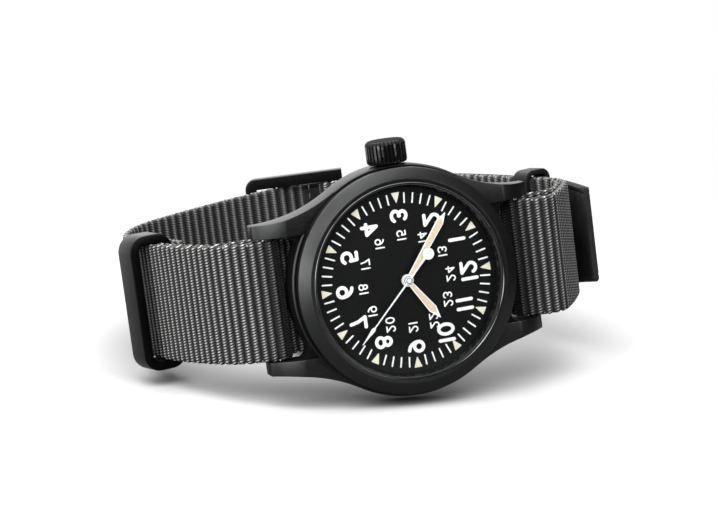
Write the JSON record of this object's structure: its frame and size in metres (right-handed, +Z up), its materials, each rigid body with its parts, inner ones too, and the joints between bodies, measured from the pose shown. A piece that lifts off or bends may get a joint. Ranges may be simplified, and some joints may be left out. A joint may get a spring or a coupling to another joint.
{
  "type": "field watch",
  "caption": "Hand-wound field watch with a domed crystal, three hands and a fluted crown, on a closed woven strap with a wide ring, keepers, a leather tail and a buckle.",
  "frame": {"origin": "on the surface it rests on, under the middle of the bounding box", "axes": "+Z up, -Y towards the viewer in front of the dial, +X to the viewer's right, which is the numeral 12's side of the dial"},
  "size_m": [0.0816, 0.0802, 0.0432],
  "materials": {
    "case_black": "satin black coated steel",
    "crystal_clear": "clear, domed",
    "dial_black": "matt black paint with white printing",
    "gasket_rubber": "black",
    "hand_white": "light frame with cream luminous filling",
    "hardware_black": "satin black coated steel",
    "keeper_black": "matt black",
    "movement_steel": "polished",
    "plate_brass": "fine matt",
    "rehaut_black": "glossy black",
    "ring_plastic": "moulded",
    "tail_leather": "black leather",
    "webbing_grey": "ribbed woven webbing",
    "wheel_brass": "polished"
  },
  "bodies": {
    "case": {"balance_cock": "plate_brass", "barrel_bridge": "plate_brass", "bezel": "case_black", "bridge_screws": "movement_steel", "buckle_bar": "hardware_black", "case_back": "case_black", "case_back_gasket": "gasket_rubber", "crown_tube": "movement_steel", "crystal": "crystal_clear", "crystal_gasket": "gasket_rubber", "dial": "dial_black", "hairspring": "movement_steel", "keeper_fixed": "keeper_black", "main_plate": "plate_brass", "mid_case": "case_black", "movement_ring": "ring_plastic", "rehaut_ring": "rehaut_black", "spring_bar_12": "movement_steel", "spring_bar_6": "movement_steel", "strap_long": "webbing_grey", "strap_short": "webbing_grey", "strap_tail": "tail_leather", "train_bridge": "plate_brass"},
    "seal": {"crown_gasket": "gasket_rubber"},
    "crown": {"crown": "case_black", "winding_stem": "movement_steel", "winding_pinion": "movement_steel"},
    "crown_wheel": {"crown_wheel": "movement_steel"},
    "ratchet": {"ratchet_wheel": "movement_steel", "barrel_arbor": "movement_steel"},
    "seconds": {"seconds_hand": "hand_white", "fourth_wheel": "wheel_brass"},
    "minute": {"minute_hand": "hand_white", "centre_wheel": "wheel_brass", "cannon_pinion": "movement_steel"},
    "hour": {"hour_hand": "hand_white", "hour_wheel": "wheel_brass"},
    "minute_wheel": {"minute_wheel": "wheel_brass"},
    "third_wheel": {"third_wheel": "wheel_brass"},
    "escape_wheel": {"escape_wheel": "movement_steel"},
    "barrel": {"barrel_drum": "wheel_brass", "mainspring": "movement_steel"},
    "pallet_fork": {"pallet_fork": "movement_steel"},
    "balance": {"balance_wheel": "wheel_brass"},
    "keeper": {"keeper_loose": "keeper_black"},
    "ring": {"strap_ring": "hardware_black"},
    "buckle": {"buckle_frame": "hardware_black"},
    "tongue": {"buckle_tongue": "hardware_black"}
  },
  "joints": [
    {"name": "crown_pull", "type": "slide", "parent": "case", "child": "seal", "axis": [-0.1028, 0.1341, 0.9856], "range_m": [0, 0.0009]},
    {"name": "crown_turn", "type": "hinge", "parent": "seal", "child": "crown", "pos_m": [-0.00071, -0.03085, 0.03974], "axis": [-0.1028, 0.1341, 0.9856], "continuous": true},
    {"name": "crown_wheel_turn", "type": "hinge", "parent": "case", "child": "crown_wheel", "pos_m": [0.00056, -0.03202, 0.02745], "axis": [0, -0.9909, 0.1349], "continuous": true},
    {"name": "ratchet_turn", "type": "hinge", "parent": "case", "child": "ratchet", "pos_m": [-0.00506, -0.03282, 0.02155], "axis": [0, -0.9909, 0.1349], "continuous": true},
    {"name": "seconds_turn", "type": "hinge", "parent": "case", "child": "seconds", "pos_m": [0.00134, -0.03304, 0.01996], "axis": [0, -0.9909, 0.1349], "continuous": true},
    {"name": "minute_turn", "type": "hinge", "parent": "case", "child": "minute", "pos_m": [0.00134, -0.03304, 0.01996], "axis": [0, -0.9909, 0.1349], "continuous": true},
    {"name": "hour_turn", "type": "hinge", "parent": "case", "child": "hour", "pos_m": [0.00134, -0.03304, 0.01996], "axis": [0, -0.9909, 0.1349], "continuous": true},
    {"name": "minute_wheel_turn", "type": "hinge", "parent": "case", "child": "minute_wheel", "pos_m": [0.00252, -0.03269, 0.02256], "axis": [0, -0.9909, 0.1349], "continuous": true},
    {"name": "third_wheel_turn", "type": "hinge", "parent": "case", "child": "third_wheel", "pos_m": [0.00485, -0.03281, 0.02164], "axis": [0, -0.9909, 0.1349], "continuous": true},
    {"name": "escape_wheel_turn", "type": "hinge", "parent": "case", "child": "escape_wheel", "pos_m": [0.00215, -0.03342, 0.01714], "axis": [0, -0.9909, 0.1349], "continuous": true},
    {"name": "barrel_turn", "type": "hinge", "parent": "case", "child": "barrel", "pos_m": [-0.00506, -0.03282, 0.02155], "axis": [0, -0.9909, 0.1349], "continuous": true},
    {"name": "pallet_fork_swing", "type": "hinge", "parent": "case", "child": "pallet_fork", "pos_m": [0.00271, -0.03373, 0.01486], "axis": [0, -0.9909, 0.1349], "range_deg": [-4, 4]},
    {"name": "balance_swing", "type": "hinge", "parent": "case", "child": "balance", "pos_m": [0.00345, -0.03411, 0.0121], "axis": [0, -0.9909, 0.1349], "range_deg": [-135, 135]},
    {"name": "keeper_slide", "type": "slide", "parent": "case", "child": "keeper", "axis": [0.3477, -0.9279, 0.1343], "range_m": [-0.001, 0.001]},
    {"name": "ring_swing", "type": "hinge", "parent": "case", "child": "ring", "pos_m": [-0.03293, -0.01152, 0.01405], "axis": [-0.1027, 0.1047, 0.9892], "range_deg": [-2, 2]},
    {"name": "buckle_lift", "type": "hinge", "parent": "case", "child": "buckle", "pos_m": [0.00871, 0.03368, 0.01359], "axis": [0.1027, -0.1047, -0.9892], "range_deg": [0, 20]},
    {"name": "tongue_lift", "type": "hinge", "parent": "buckle", "child": "tongue", "pos_m": [0.00871, 0.03368, 0.01359], "axis": [0.1027, -0.1047, -0.9892], "range_deg": [0, 30]}
  ],
  "couplings": [
    {"joint": "crown_wheel_turn", "follows": "crown_turn", "ratio": 0.66667},
    {"joint": "ratchet_turn", "follows": "crown_turn", "ratio": -0.4},
    {"joint": "minute_turn", "follows": "seconds_turn", "ratio": 0.016667},
    {"joint": "hour_turn", "follows": "seconds_turn", "ratio": 0.0013889},
    {"joint": "minute_wheel_turn", "follows": "seconds_turn", "ratio": -0.0055556},
    {"joint": "third_wheel_turn", "follows": "seconds_turn", "ratio": -0.13333},
    {"joint": "escape_wheel_turn", "follows": "seconds_turn", "ratio": -12},
    {"joint": "barrel_turn", "follows": "seconds_turn", "ratio": -0.002381}
  ]
}
